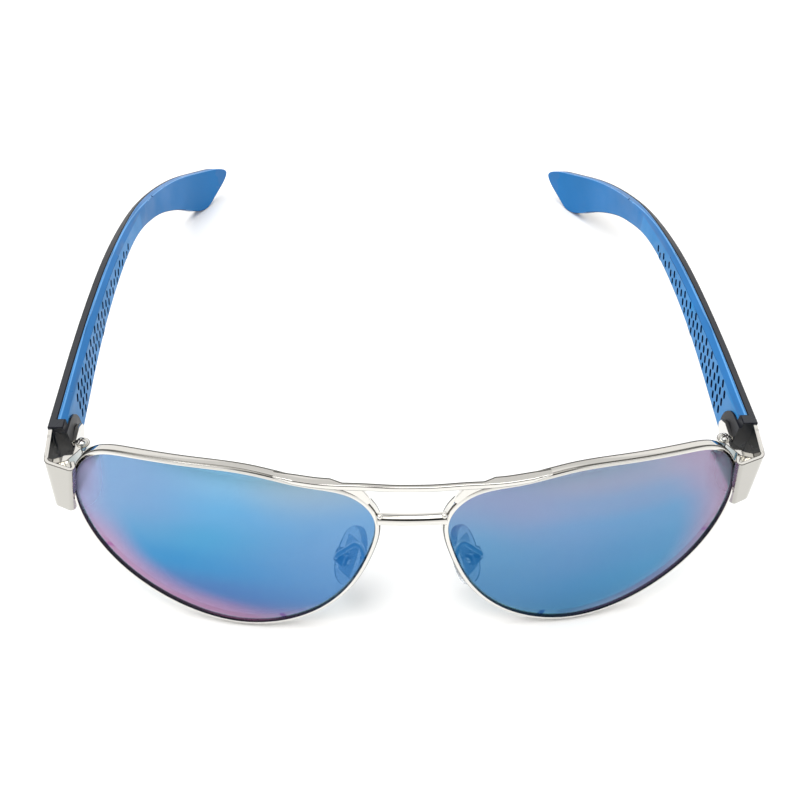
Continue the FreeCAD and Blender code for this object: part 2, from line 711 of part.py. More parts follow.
def pad_mount():
    """The cup that holds the pad, its screw and the arm from the rim."""
    axis = -BOX_SETBACK
    cup = rounded_block(2.9, 3.2, 2.2, z=axis - 0.35)
    inside = rounded_block(4.0, 1.5, 2.2, z=axis + 0.05)
    bore = rod(size("pad_screw_radius") + size("seat_gap"), -3, 3, axis)
    cup_shape = cup.cut(inside).cut(bore)
    box = place_pad(feature("left_pad_box", cup_shape))
    head = Part.makeCylinder(0.7, 0.45, V(0, -2.07, axis), V(0, 1, 0)).fuse(rod(size("pad_screw_radius"), -1.9, 1.5, axis))
    groove = rounded_block(0.2, 0.5, 2.0, y=-2.07, z=axis)
    fastener = place_pad(feature("left_pad_screw", head.cut(groove)))
    frame = pad_frame()
    back = frame.multVec(V(0, 0, axis - 1.3))
    turn = frame.multVec(V(0.6, -0.3, axis - 3.2))
    route = [(9.3, 1.3, 17.4), (10.3, 4.3, 19.2), (turn.x, turn.y, turn.z), (back.x, back.y, back.z)]
    arm = feature("arm_wire", pipe(route, size("arm_radius"), 1.3))
    return box, fastener, arm


# ---------------------------------------------------------------- assembly
def build():
    lens, rim, envelope = lens_and_rim()
    right_envelope = mirrored("right_envelope", envelope)
    ready(lens, rim, right_envelope)
    central = [brow_bar(envelope, right_envelope), bridge(envelope, right_envelope)]
    sheet = endpiece(envelope)
    ready(sheet)
    sided = [lens, rim, sheet] + rim_lock(envelope, sheet)
    sided += [front_hinge(sheet), hinge_screw()]
    leaf = ready(temple_hinge())
    sided += [leaf, *temple(leaf), *nose_pad()]
    box, fastener, wire = pad_mount()
    arm = cut("left_pad_arm", wire, envelope, box)
    sided += [box, fastener, arm]
    return central, sided


def check(items):
    doc.recompute()
    failed = [o.Label for o in doc.Objects if "Invalid" in o.State or "Error" in o.State]
    for item in items:
        shape = item.Shape
        if shape.isNull() or not shape.isValid() or not shape.Solids:
            failed.append(item.Label)
    if failed:
        raise SystemExit("failed: " + ", ".join(sorted(set(failed))))


def export(items):
    os.makedirs("parts", exist_ok=True)
    for item in items:
        item.Shape.exportStep(f"parts/{item.Label}.step")


central, left = build()
ready(*left)
right = [mirrored(item.Label.replace("left_", "right_"), item) for item in left]
nodes = central + left + right
check(nodes)
export(nodes)
for item in nodes:
    shape = item.Shape
    box = shape.BoundBox
    print(f"{item.Label:22s} solids {len(shape.Solids)} volume {shape.Volume:8.2f}"
          f" x {box.XMin:7.2f} {box.XMax:7.2f} y {box.YMin:7.2f} {box.YMax:7.2f} z {box.ZMin:6.2f} {box.ZMax:6.2f}")
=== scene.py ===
"""Looks of the double-bridge sunglasses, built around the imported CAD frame.

Shapes are worked out in millimetres in the frame of the front, whose Y is measured from the lens
apex. place() moves them back to the row frame, in metres. The wearer's left side has positive X.
"""
import bmesh
import bpy
import json
import math
import numpy as np
from mathutils import Matrix, Vector
from mathutils.bvhtree import BVHTree


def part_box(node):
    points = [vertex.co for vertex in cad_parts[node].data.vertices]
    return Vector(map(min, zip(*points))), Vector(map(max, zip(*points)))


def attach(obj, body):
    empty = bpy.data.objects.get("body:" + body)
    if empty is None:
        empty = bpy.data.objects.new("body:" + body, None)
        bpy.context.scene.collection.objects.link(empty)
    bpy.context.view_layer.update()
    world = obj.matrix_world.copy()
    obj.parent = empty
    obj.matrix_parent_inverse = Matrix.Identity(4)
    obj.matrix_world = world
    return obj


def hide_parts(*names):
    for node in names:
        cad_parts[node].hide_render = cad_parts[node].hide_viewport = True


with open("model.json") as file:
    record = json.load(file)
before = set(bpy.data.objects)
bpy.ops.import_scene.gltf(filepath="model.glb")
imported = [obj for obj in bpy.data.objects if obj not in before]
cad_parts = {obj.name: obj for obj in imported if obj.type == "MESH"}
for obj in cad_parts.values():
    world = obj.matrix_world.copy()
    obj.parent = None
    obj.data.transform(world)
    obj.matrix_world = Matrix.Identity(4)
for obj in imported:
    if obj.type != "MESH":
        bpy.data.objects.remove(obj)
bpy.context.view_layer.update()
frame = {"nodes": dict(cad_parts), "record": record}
nodes = frame["nodes"]
scene = bpy.context.scene
MM = 0.001
FRONT_Y = -79.24        # lens apex plane, millimetres
LENS_X, LENS_Z = 38.93, 21.225      # centre of the lens
FACE, LEAN = math.radians(10.11), math.radians(13.65)       # how it is turned outwards and leans back
BALL = 88.0             # radius of its outer face
THICK = 1.4

# ---------------------------------------------------------------- camera
YAW, PITCH, ROLL = 0.065337, 0.800479, 0.042063
EYE = Vector((-9.951, -98.384 + FRONT_Y, 166.643)) * MM
FOCAL = 38.904          # millimetres, for a picture 36 mm wide


def place_camera():
    """The camera at EYE, turned by YAW to the right, by PITCH down and by ROLL about its own axis."""
    forward = Vector((math.sin(YAW) * math.cos(PITCH), math.cos(YAW) * math.cos(PITCH), -math.sin(PITCH)))
    right = Vector((math.cos(YAW), -math.sin(YAW), 0))
    up = right.cross(forward)
    right, up = right * math.cos(ROLL) + up * math.sin(ROLL), up * math.cos(ROLL) - right * math.sin(ROLL)
    optics = bpy.data.cameras.new("camera")
    optics.lens = FOCAL
    optics.sensor_width = 36
    optics.clip_start = 0.01
    optics.clip_end = 20
    camera = bpy.data.objects.new("camera", optics)
    camera.matrix_world = Matrix.Translation(EYE) @ Matrix((right, up, -forward)).transposed().to_4x4()
    scene.collection.objects.link(camera)
    scene.camera = camera


place_camera()


# ---------------------------------------------------------------- materials
def shader(name, color, rough, metal=0.0, **sockets):
    """A principled material. Further sockets are given by name, with _ for each space."""
    material = bpy.data.materials.new(name)
    material.use_nodes = True
    principled = material.node_tree.nodes["Principled BSDF"]
    principled.inputs["Base Color"].default_value = (*color, 1)
    principled.inputs["Roughness"].default_value = rough
    principled.inputs["Metallic"].default_value = metal
    for socket, value in sockets.items():
        principled.inputs[socket.replace("_", " ")].default_value = value
    return material


class Graph:
    """A short way to write a material's nodes."""

    def __init__(self, material):
        self.tree = material.node_tree
        self.principled = self.tree.nodes.get("Principled BSDF")
        self.spot = self.tree.nodes.new("ShaderNodeTexCoord").outputs["Object"]

    def node(self, kind, inputs=(), **settings):
        made = self.tree.nodes.new("ShaderNode" + kind)
        for name, value in settings.items():
            setattr(made, name, value)
        for socket, value in dict(inputs).items():
            if isinstance(value, bpy.types.NodeSocket):
                self.tree.links.new(value, made.inputs[socket])
            else:
                made.inputs[socket].default_value = value
        return made

    def noise(self, scale, detail):
        made = self.node("TexNoise", {"Vector": self.spot, "Scale": scale, "Detail": detail})
        return made.outputs["Fac"]

    def remap(self, value, low, high, to_low, to_high, smooth=False):
        kind = "SMOOTHSTEP" if smooth else "LINEAR"
        inputs = {"Value": value, "From Min": low, "From Max": high, "To Min": to_low, "To Max": to_high}
        return self.node("MapRange", inputs, interpolation_type=kind).outputs["Result"]

    def mix(self, factor, first, second):
        made = self.node("Mix", data_type="RGBA")
        for index, value in ((0, factor), (6, first), (7, second)):
            if isinstance(value, bpy.types.NodeSocket):
                self.tree.links.new(value, made.inputs[index])
            else:
                made.inputs[index].default_value = value if index == 0 else (*value, 1)
        return made.outputs[2]

    def drive(self, socket, value):
        self.tree.links.new(value, self.principled.inputs[socket])

    def bump(self, height, strength, distance):
        made = self.node("Bump", {"Height": height, "Strength": strength, "Distance": distance})
        self.drive("Normal", made.outputs["Normal"])


def metal(name, color, rough):
    """Polished metal with a faint cloudiness and the ripple of plated wire."""
    material = shader(name, color, rough, 1.0)
    graph = Graph(material)
    graph.drive("Roughness", graph.remap(graph.noise(900, 3), 0.3, 0.7, rough * 0.7, rough * 1.5))
    graph.bump(graph.noise(260, 1), 0.12, 0.00004)
    return material


def plastic(name, color, rough, grain, depth, **sockets):
    """Moulded plastic: a fine grain in the skin, and a slight drift of gloss and shade."""
    material = shader(name, color, rough, 0.0, **sockets)
    graph = Graph(material)
    graph.drive("Roughness", graph.remap(graph.noise(140, 3), 0.3, 0.7, rough * 0.8, rough * 1.25))
    deep = tuple(c * 0.86 for c in color)
    graph.drive("Base Color", graph.mix(graph.remap(graph.noise(45, 2), 0.35, 0.65, 0, 1), color, deep))
    graph.bump(graph.noise(grain, 2), 0.25, depth)
    return material


chrome = metal("chrome", (0.74, 0.725, 0.69), 0.045)
# a darker copy of the chrome for the endpiece panel's front: painted shade
panel = metal("panel_front_painted_shade", (0.46, 0.45, 0.42), 0.06)
# a brighter copy of the chrome for the endpiece's outer side: painted light
outer_side_painted_light = metal("outer_side_painted_light", (0.93, 0.925, 0.90), 0.06)
# dim lilac metal for the turned edge that faces the lens: a painted reflection of the dark lens
flange_painted_reflection = metal("flange_painted_reflection", (0.38, 0.33, 0.36), 0.22)
# dark metal for edge bands and rounded edges of the chrome: a painted dark reflection
dark_edge_reflection = metal("chrome_painted_dark_reflection", (0.13, 0.125, 0.115), 0.16)
# near-black copy of the chrome for the pad box: a painted dark reflection
pad_box_painted_reflection = metal("pad_box_painted_reflection", (0.10, 0.105, 0.115), 0.16)
steel = metal("screw_steel", (0.62, 0.61, 0.58), 0.14)
# dark metal painted on the rim's inner wall as the reflection of the dark lens, and in the screws' driver slots as
# shade
groove = metal("rim_and_slot_painted_dark", (0.10, 0.085, 0.095), 0.25)
black = plastic("black_shell", (0.008, 0.011, 0.018), 0.26, 2200, 0.00001, Specular_IOR_Level=0.55)
# darker, duller copy of the black for the boss and the shell's rounded outline edges: painted shade
black_painted_shade = plastic("black_painted_shade", (0.004, 0.005, 0.010), 0.30, 2200, 0.00001, Specular_IOR_Level=0.12)
blue = plastic("blue_inlay", (0.010, 0.150, 0.420), 0.34, 2600, 0.00002, Specular_IOR_Level=0.30)
# lighter copy of the blue for the perforated inner face: painted light
blue_painted_light_face = plastic("blue_inlay_painted_light_face", (0.010, 0.205, 0.520), 0.38, 2600, 0.00002, Specular_IOR_Level=0.22)
# light blue on the inlay's rounded edges: a painted highlight
blue_painted_highlight = plastic("blue_inlay_painted_highlight", (0.100, 0.330, 0.680), 0.30, 2600, 0.00002, Specular_IOR_Level=0.45)
# dark navy on the rounded edges that look down: painted shade
blue_painted_shade_under = plastic("blue_inlay_painted_shade_under", (0.003, 0.025, 0.090), 0.40, 2600, 0.00002, Specular_IOR_Level=0.10)
# slightly lighter copy of the blue for the tip's face: painted light
blue_painted_light_tip = plastic("blue_inlay_painted_light_tip", (0.006, 0.160, 0.440), 0.36, 2600, 0.00002, Specular_IOR_Level=0.20)
hollow = plastic("slot_shade", (0.001, 0.008, 0.040), 0.6, 2600, 0.00002, Specular_IOR_Level=0.04)


def silicone(name, color, rough):
    """Clear moulded silicone, slightly cloudy inside and very finely matt outside."""
    material = shader(name, color, rough, 0.0, Transmission_Weight=0.92, IOR=1.41)
    graph = Graph(material)
    graph.drive("Roughness", graph.remap(graph.noise(500, 3), 0.3, 0.7, rough * 0.6, rough * 1.6))
    cloudy = tuple(c * 0.93 for c in color)
    graph.drive("Base Color", graph.mix(graph.remap(graph.noise(220, 2), 0.35, 0.65, 0, 1), color, cloudy))
    graph.bump(graph.noise(1500, 1), 0.15, 0.00001)
    return material


clear = silicone("clear_silicone", (0.86, 0.90, 0.94), 0.12)


SMOKE = (0.205, 0.500, 0.580)       # the light that the lens lets through
BODY_SHARE, COAT_SHARE = 0.05, 0.55     # how much of the light the bare and the coated face reflect
REFLECTION_PATCH_SPOT, REFLECTION_PATCH_RADII = (69.5, 35.5), (8, 11)       # ellipse of the painted reflection patch, across and up
NOSE_SPOT, NOSE_RADII = (12, 21), (20, 14)              # ellipse of the tint near the nose


def smoke(name, tint):
    """The tinted body of the lens: light passes straight through it."""
    material = bpy.data.materials.new(name)
    material.use_nodes = True
    tree = material.node_tree
    tree.nodes.remove(tree.nodes["Principled BSDF"])
    see = tree.nodes.new("ShaderNodeBsdfTransparent")
    see.inputs["Color"].default_value = (*tint, 1)
    gloss = tree.nodes.new("ShaderNodeBsdfGlossy")
    gloss.inputs["Roughness"].default_value = 0.02
    gloss.inputs["Color"].default_value = (0.8, 0.82, 0.85, 1)
    mixer = tree.nodes.new("ShaderNodeMixShader")
    mixer.inputs["Fac"].default_value = BODY_SHARE
    tree.links.new(see.outputs[0], mixer.inputs[1])
    tree.links.new(gloss.outputs[0], mixer.inputs[2])
    tree.links.new(mixer.outputs[0], tree.nodes["Material Output"].inputs["Surface"])
    return material


def coating(name, bands, halo, blobs, corner, nasal):
    """The mirror coat: its colour, set by position on the lens, is partly its own hue, partly painted reflections.

    bands are heights in millimetres and their colours, from the lowest up. halo is the ellipse
    inside which they show, how soft its edge is and the colour outside. Each blob is the same,
    with the colour that it adds inside. corner is the share and colour of a painted reflection, a
    lilac diffuse patch in the upper outer corner, and nasal is the tint of the lens near the nose.
    """
    material = smoke(name, SMOKE)
    graph = Graph(material)
    tree = material.node_tree
    mixer, gloss, see = (next(n for n in tree.nodes if n.type == kind)
                         for kind in ("MIX_SHADER", "BSDF_GLOSSY", "BSDF_TRANSPARENT"))
    mixer.inputs["Fac"].default_value = COAT_SHARE
    gloss.inputs["Roughness"].default_value = 0.08
    wobble = graph.remap(graph.noise(30, 1), 0.3, 0.7, -0.07, 0.07)
    height = graph.node("SeparateXYZ", {0: graph.spot}).outputs["Z"]
    low, color = bands[0]
    for high, tone in bands[1:]:
        color = graph.mix(graph.remap(height, low * MM, high * MM, 0.0, 1.0, smooth=True), color, tone)
        low = high

    def inside(spot, radii, soft):
        (x, z), (rx, rz) = spot, radii
        scaled = graph.node("VectorMath", {0: graph.spot, 1: (1000 / rx, 0, 1000 / rz)}, operation="MULTIPLY")
        away = graph.node("VectorMath", {0: scaled.outputs[0], 1: (x / rx, 0, z / rz)}, operation="DISTANCE")
        edge = graph.node("Math", {0: away.outputs["Value"], 1: wobble})
        return graph.remap(edge.outputs[0], 1 - soft, 1 + soft, 1.0, 0.0, smooth=True)

    spot, radii, soft, outer = halo
    color = graph.mix(inside(spot, radii, soft), outer, color)
    side = -1 if spot[0] < 0 else 1
    for spot, radii, soft, tone in blobs:
        color = graph.mix(inside(spot, radii, soft), color, tone)
    tree.links.new(color, gloss.inputs["Color"])
    x, z = REFLECTION_PATCH_SPOT
    # a lilac diffuse patch in the upper outer corner: a painted reflection
    reflection_patch = graph.node("BsdfDiffuse", {"Color": (*corner[1], 1)})
    in_corner = graph.remap(inside((side * x, z), REFLECTION_PATCH_RADII, 0.4), 0.0, 1.0, 0.0, corner[0])
    over = graph.node("MixShader", {0: in_corner, 1: mixer.outputs[0], 2: reflection_patch.outputs[0]})
    tree.links.new(over.outputs[0], tree.nodes["Material Output"].inputs["Surface"])
    x, z = NOSE_SPOT
    tree.links.new(graph.mix(inside((side * x, z), NOSE_RADII, 0.8), SMOKE, nasal), see.inputs["Color"])
    return material


# ---------------------------------------------------------------- curves and meshes
def smooth(points, closed=False):
    """A function that gives points on one smooth curve through the given ones, from 0 to 1."""
    p = np.array(points, float)
    if closed:
        p = np.vstack([p, p[:1]])
    h = np.linalg.norm(np.diff(p, axis=0), axis=1)
    t = np.concatenate([[0], np.cumsum(h)])
    n = len(p)
    a, b = np.zeros((n, n)), np.zeros(p.shape)
    slope = np.diff(p, axis=0) / h[:, None]
    for i in range(1, n - 1):
        a[i, i - 1:i + 2] = h[i - 1], 2 * (h[i - 1] + h[i]), h[i]
        b[i] = 6 * (slope[i] - slope[i - 1])
    if closed:
        a[0, 0], a[0, -1] = 1, -1
        a[-1, 0], a[-1, 1], a[-1, -2], a[-1, -1] = 2 * h[0], h[0], h[-1], 2 * h[-1]
        b[-1] = 6 * (slope[0] - slope[-1])
    else:
        a[0, 0] = a[-1, -1] = 1
    m = np.linalg.solve(a, b)

    def at(share):
        s = np.atleast_1d(np.asarray(share, float)) * t[-1]
        i = np.clip(np.searchsorted(t, s, side="right") - 1, 0, n - 2)
        d, e, k = (s - t[i])[:, None], (t[i + 1] - s)[:, None], h[i][:, None]
        cubic = (m[i] * e ** 3 + m[i + 1] * d ** 3) / (6 * k)
        return cubic + (p[i] / k - m[i] * k / 6) * e + (p[i + 1] / k - m[i + 1] * k / 6) * d
    return at


def rounded(corners, radii, steps=5):
    """The closed outline of a polygon with round corners."""
    out = []
    n = len(corners)
    for i, radius in enumerate(radii):
        a, c, b = (np.array(corners[j % n], float) for j in (i - 1, i, i + 1))
        u, v = (a - c) / np.linalg.norm(a - c), (b - c) / np.linalg.norm(b - c)
        half = math.acos(np.clip(u @ v, -1, 1)) / 2
        if radius <= 0 or half > 1.5:
            out.append(c)
            continue
        centre = c + (u + v) / np.linalg.norm(u + v) * radius / math.sin(half)
        start, stop = c + u * radius / math.tan(half), c + v * radius / math.tan(half)
        for k in range(steps + 1):
            w = k / steps
            ray = (start - centre) * (1 - w) + (stop - centre) * w
            out.append(centre + ray / np.linalg.norm(ray) * radius)
    return np.array(out)


def called(side):
    """The wearer's side, by the sign of its X."""
    return "left" if side > 0 else "right"


def place(points):
    """From front-frame millimetres to row-frame metres."""
    return (np.asarray(points, float) + (0, FRONT_Y, 0)) * MM


def mesh_piece(name, points, faces, material, body="front", side=1, angle=40):
    """A smooth-shaded mesh, mirrored for the wearer's right side. material is one finish or a list."""
    points = place(points)
    if side < 0:
        points = points * (-1, 1, 1)
        faces = [face[::-1] for face in faces]
    data = bpy.data.meshes.new(name)
    data.from_pydata([tuple(p) for p in points], [], faces)
    for finish in material if isinstance(material, (list, tuple)) else [material]:
        data.materials.append(finish)
    data.validate()
    data.shade_smooth()
    data.set_sharp_from_angle(angle=math.radians(angle))
    item = bpy.data.objects.new(name, data)
    scene.collection.objects.link(item)
    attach(item, body)
    return item


def skin(rings, closed=False):
    """Points and faces through a row of rings of equally many points, capped unless it is closed."""
    rings = np.asarray(rings, float)
    count, around = rings.shape[:2]
    faces = []
    for i in range(count if closed else count - 1):
        j = (i + 1) % count
        for k in range(around):
            m = (k + 1) % around
            faces.append((i * around + k, i * around + m, j * around + m, j * around + k))
    if not closed:
        faces.append(tuple(range(around))[::-1])
        faces.append(tuple(range((count - 1) * around, count * around)))
    return rings.reshape(-1, 3), faces


def outward(item):
    """Turns every face of a closed mesh outwards."""
    work = bmesh.new()
    work.from_mesh(item.data)
    bmesh.ops.recalc_face_normals(work, faces=work.faces)
    work.to_mesh(item.data)
    work.free()
    return item


# ---------------------------------------------------------------- frames of the front
def lens_axes():
    u = np.array([math.cos(FACE), math.sin(FACE), 0])
    w = np.array([-math.sin(FACE) * math.sin(LEAN), math.cos(FACE) * math.sin(LEAN), math.cos(LEAN)])
    n = np.array([math.sin(FACE) * math.cos(LEAN), -math.cos(FACE) * math.cos(LEAN), math.sin(LEAN)])
    return u, w, n


def on_ball(x, y, lift):
    """A point over the lens: x outwards, y up, lift in front of the lens's outer face."""
    u, w, n = lens_axes()
    x, y, lift = np.broadcast_arrays(np.asarray(x, float), y, lift)
    depth = np.sqrt((BALL + lift) ** 2 - x ** 2 - y ** 2) - BALL
    return np.array([LENS_X, 0, LENS_Z]) + x[..., None] * u + y[..., None] * w + depth[..., None] * n


def on_brow(x, rise, out):
    """A point of the upper front plane: x from the middle, rise up along it, out towards the front."""
    up = np.array([0, math.sin(LEAN), math.cos(LEAN)])
    forth = np.array([0, -math.cos(LEAN), math.sin(LEAN)])
    x, rise, out = np.broadcast_arrays(np.asarray(x, float), rise, out)
    return np.array([0, 0.6, LENS_Z]) + x[..., None] * (1, 0, 0) + rise[..., None] * up + out[..., None] * forth


# the lens edge, from its centre outwards and up; the first point is on the nose's far side
LENS_EDGE = [
    (30.2, 7.5), (29.2, 12.4), (25.1, 16.8), (17.5, 18.7), (5.2, 19.5), (-6.8, 19.3),
    (-17.4, 17.2), (-26.2, 14.7), (-30.7, 8.9), (-30.0, 1.6), (-26.6, -6.7), (-20.9, -13.6),
    (-12.7, -18.3), (-3.4, -19.8), (6.0, -17.8), (15.8, -12.9), (24.3, -5.7), (28.8, 1.4),
]
AROUND = 260            # points round it


def outline():
    """Points round the lens edge and the directions away from it."""
    curve = smooth(LENS_EDGE, closed=True)
    share = np.arange(AROUND) / AROUND
    points = curve(share)
    along = curve((share + 1e-4) % 1) - curve((share - 1e-4) % 1)
    along /= np.linalg.norm(along, axis=1)[:, None]
    return points, np.stack([along[:, 1], -along[:, 0]], 1)


# ---------------------------------------------------------------- lenses
RINGS = 26              # rings of points on each face of the lens
LENS_TUCK = 0.15        # how far the lens reaches into the rim


def lens(side, finishes):
    """The lens: its outer face, its inner face and the wall between them, each with its own finish; the wall's
    near-black is painted shade.
    """
    edge, out = outline()
    reach = edge + out * LENS_TUCK
    points, faces, materials = [], [], []
    for lift in (0.0, -THICK):
        for k in range(1, RINGS + 1):
            flat = reach * (k / RINGS)
            points.append(on_ball(flat[:, 0], flat[:, 1], lift))
        points.append(on_ball([0.0], [0.0], lift))
    points = np.vstack(points)
    per = RINGS * AROUND + 1
    for layer, base in enumerate((0, per)):
        for k in range(RINGS - 1):
            for i in range(AROUND):
                j = (i + 1) % AROUND
                quad = (base + k * AROUND + i, base + (k + 1) * AROUND + i,
                        base + (k + 1) * AROUND + j, base + k * AROUND + j)
                faces.append(quad if layer == 0 else quad[::-1])
                materials.append(layer)
        for i in range(AROUND):
            tri = (base + per - 1, base + i, base + (i + 1) % AROUND)
            faces.append(tri if layer == 0 else tri[::-1])
            materials.append(layer)
    last = (RINGS - 1) * AROUND
    for i in range(AROUND):
        j = (i + 1) % AROUND
        faces.append((last + i, per + last + i, per + last + j, last + j))
        materials.append(2)
    item = mesh_piece(f"{called(side)}_mirror_lens", points, faces, finishes, side=side)
    for polygon, index in zip(item.data.polygons, materials):
        polygon.material_index = index
    outward(item)
    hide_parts(f"{called(side)}_lens")


# ---------------------------------------------------------------- rims
# how far the rim reaches out from the lens edge, and in front of the lens's outer face
RIM_LIP, RIM_OUT = 0.05, 0.95
RIM_FRONT, RIM_BACK = 0.5, -1.8
RIM_BEND = 0.65         # from the rim's back to where its rear edge starts to turn
RIM_DARK_REFLECTION = (8, 9, 12, 13, 14)       # strips of the outer edges, painted darker as a reflection of dark surroundings
RIM_SEAT = -0.42        # where the dark part of the rim's inner wall ends; that part is a painted reflection of the dark lens


def rim(side):
    """The rim wire: a flat band with softened edges, wrapped round the lens."""
    edge, out = outline()
    corners = [(RIM_LIP, RIM_FRONT), (RIM_OUT, RIM_FRONT), (RIM_OUT, RIM_BACK + RIM_BEND),
               (RIM_OUT, RIM_BACK), (RIM_LIP, RIM_BACK), (RIM_LIP, RIM_SEAT)]
    profile = rounded(corners, (0.08, 0.42, 0, 0.42, 0.12, 0))
    rings = []
    for point, away in zip(edge, out):
        spots = point + profile[:, :1] * away
        rings.append(on_ball(spots[:, 0], spots[:, 1], profile[:, 1]))
    points, faces = skin(rings, closed=True)
    item = mesh_piece(f"{called(side)}_rim_wire", points, faces, [chrome, groove, dark_edge_reflection], side=side, angle=60)
    around = len(profile)
    for polygon in item.data.polygons:
        strip = polygon.index % around
        # 1, the inner wall, is a painted reflection of the dark lens; 2, the edge strips, a painted dark
        # reflection
        polygon.material_index = 1 if strip in (around - 1, 0, 1, 2) else 2 if strip in RIM_DARK_REFLECTION else 0
    outward(item)
    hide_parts(f"{called(side)}_rim")


# ---------------------------------------------------------------- brow bar and bridge
# lower, upper, front and back faces of the brow bar, by the distance from the middle
BROW_LOW = [(0, 15.2), (4.5, 15.3), (9.5, 15.65), (14.4, 15.95), (18.6, 16.45), (22.8, 17.3), (26.6, 18.65)]
BROW_TOP = [(0, 16.35), (4.5, 16.45), (9.5, 16.85), (14.4, 17.1), (18.6, 17.5), (22.8, 18.3), (26.6, 18.9)]
BROW_FRONT = [(0, 1.0), (14.4, 1.0), (22.9, 1.0), (26.6, 0.35)]
BROW_BACK = [(0, -0.3), (13.6, -0.3), (15.9, -1.5), (26.6, -1.5)]
BROW_ROUND, BROW_BEND = 0.3, 0.33       # radius of its edges, and where its top starts to turn down
BROW_DARK_REFLECTION = (7, 8, 9, 14, 18, 19)       # strips of its edges, painted darker as a reflection of dark surroundings
WEB_OUT = [(15.4, 16.4), (11.6, 16.1), (10.0, 15.5), (9.1, 14.4), (8.3, 13.1), (8.0, 12.1)]
WEB_IN = [(9.0, 11.4), (10.2, 12.8), (12.2, 14.2), (15.4, 15.4)]
WEB_FRONT, WEB_BACK, WEB_ROUND = 0.15, -0.95, 0.22


def profile_at(table, x):
    """The table's straight course at x."""
    return np.interp(x, [row[0] for row in table], [row[1] for row in table])


def eased(table, x):
    """The table's smooth curve at x."""
    curve = smooth(table)(np.linspace(0, 1, 400))
    return np.interp(x, curve[:, 0], curve[:, 1])


def brow_bar():
    """The bar over the nose, and the web that fills the corner under each end of its free span."""
    half = np.concatenate([np.linspace(0, 22, 67), np.linspace(22.2, 26.5, 22)])
    stations = np.concatenate([-half[:0:-1], half])
    rings = []
    for x in stations:
        low, top = eased(BROW_LOW, abs(x)), eased(BROW_TOP, abs(x))
        front, back = profile_at(BROW_FRONT, abs(x)), profile_at(BROW_BACK, abs(x))
        radius = min(BROW_ROUND, (top - low) * 0.42, (front - back) * 0.42)
        corners = [(low, back), (low, front), (top, front), (top, back + radius + BROW_BEND), (top, back)]
        ring = rounded(corners, (radius, radius, radius, 0, radius))
        rings.append(on_brow(np.full(len(ring), x), ring[:, 0], ring[:, 1]))
    points, faces = skin(rings)
    item = mesh_piece("brow_bar_polished", points, faces, [chrome, dark_edge_reflection], angle=50)
    around = len(ring)
    for polygon in item.data.polygons:
        # the edge strips take the dark metal: a painted dark reflection
        if polygon.index < (len(stations) - 1) * around and polygon.index % around in BROW_DARK_REFLECTION:
            polygon.material_index = 1
    outward(item)
    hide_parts("brow_bar")
    share = np.linspace(0, 1, 40)
    web = np.vstack([smooth(WEB_OUT)(share), smooth(WEB_IN)(share)])
    points, faces = plate(web, WEB_FRONT, WEB_BACK, WEB_ROUND)
    for side in (1, -1):
        outward(mesh_piece(f"{called(side)}_brow_web", points, faces, chrome, side=side, angle=50))


def plate(flat, front, back, bevel):
    """A flat piece in the brow plane with round edges: rings that shrink towards both faces."""
    flat = np.asarray(flat, float)
    nxt, prv = np.roll(flat, -1, 0), np.roll(flat, 1, 0)
    along = (nxt - prv) / np.linalg.norm(nxt - prv, axis=1)[:, None]
    area = np.sum(flat[:, 0] * nxt[:, 1] - nxt[:, 0] * flat[:, 1])
    out = np.stack([along[:, 1], -along[:, 0]], 1) * (1 if area > 0 else -1)
    rings = []
    for face, inward, steps in ((front, -1, range(5)), (back, 1, range(4, -1, -1))):
        for k in steps:
            angle = math.pi / 2 * k / 4
            inset, depth = bevel * (1 - math.sin(angle)), bevel * (1 - math.cos(angle))
            ring = flat - out * inset
            rings.append(on_brow(ring[:, 0], ring[:, 1], np.full(len(ring), face + inward * depth)))
    return skin(rings)


BRIDGE_HALF, BRIDGE_RISE, BRIDGE_SAG, BRIDGE_OUT = 6.8, 7.95, 0.3, -0.2
BRIDGE_RADIUS = 1.25
BEAD_SPOT, BEAD_RADIUS = (6.35, 8.95, 0.35), 0.62


def disc(x, rise, out, radius, count):
    """A ring of points round a line along X, in the brow plane's directions."""
    turn = np.linspace(0, 2 * math.pi, count, endpoint=False)
    return on_brow(np.full(count, x), rise + radius * np.sin(turn), out + radius * np.cos(turn))


def bridge():
    """The lower bridge, slightly sagging and thicker at its ends, and the solder bead on each end."""
    rings = []
    for s in np.linspace(-1, 1, 61):
        swell = BRIDGE_RADIUS + 0.12 * max(0, abs(s) - 0.55)
        rings.append(disc(s * BRIDGE_HALF, BRIDGE_RISE - BRIDGE_SAG * (1 - s ** 2), BRIDGE_OUT, swell, 40))
    points, faces = skin(rings)
    item = mesh_piece("bridge_polished", points, faces, chrome, angle=50)
    outward(item)
    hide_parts("bridge")
    x, rise, out = BEAD_SPOT
    rings = []
    for k in range(13):
        tilt = math.pi * (k + 0.02) / 12.04
        rings.append(disc(x + BEAD_RADIUS * math.cos(tilt), rise, out, BEAD_RADIUS * math.sin(tilt), 24))
    points, faces = skin(rings)
    for side in (1, -1):
        outward(mesh_piece(f"{called(side)}_bridge_bead", points, faces, chrome, side=side))


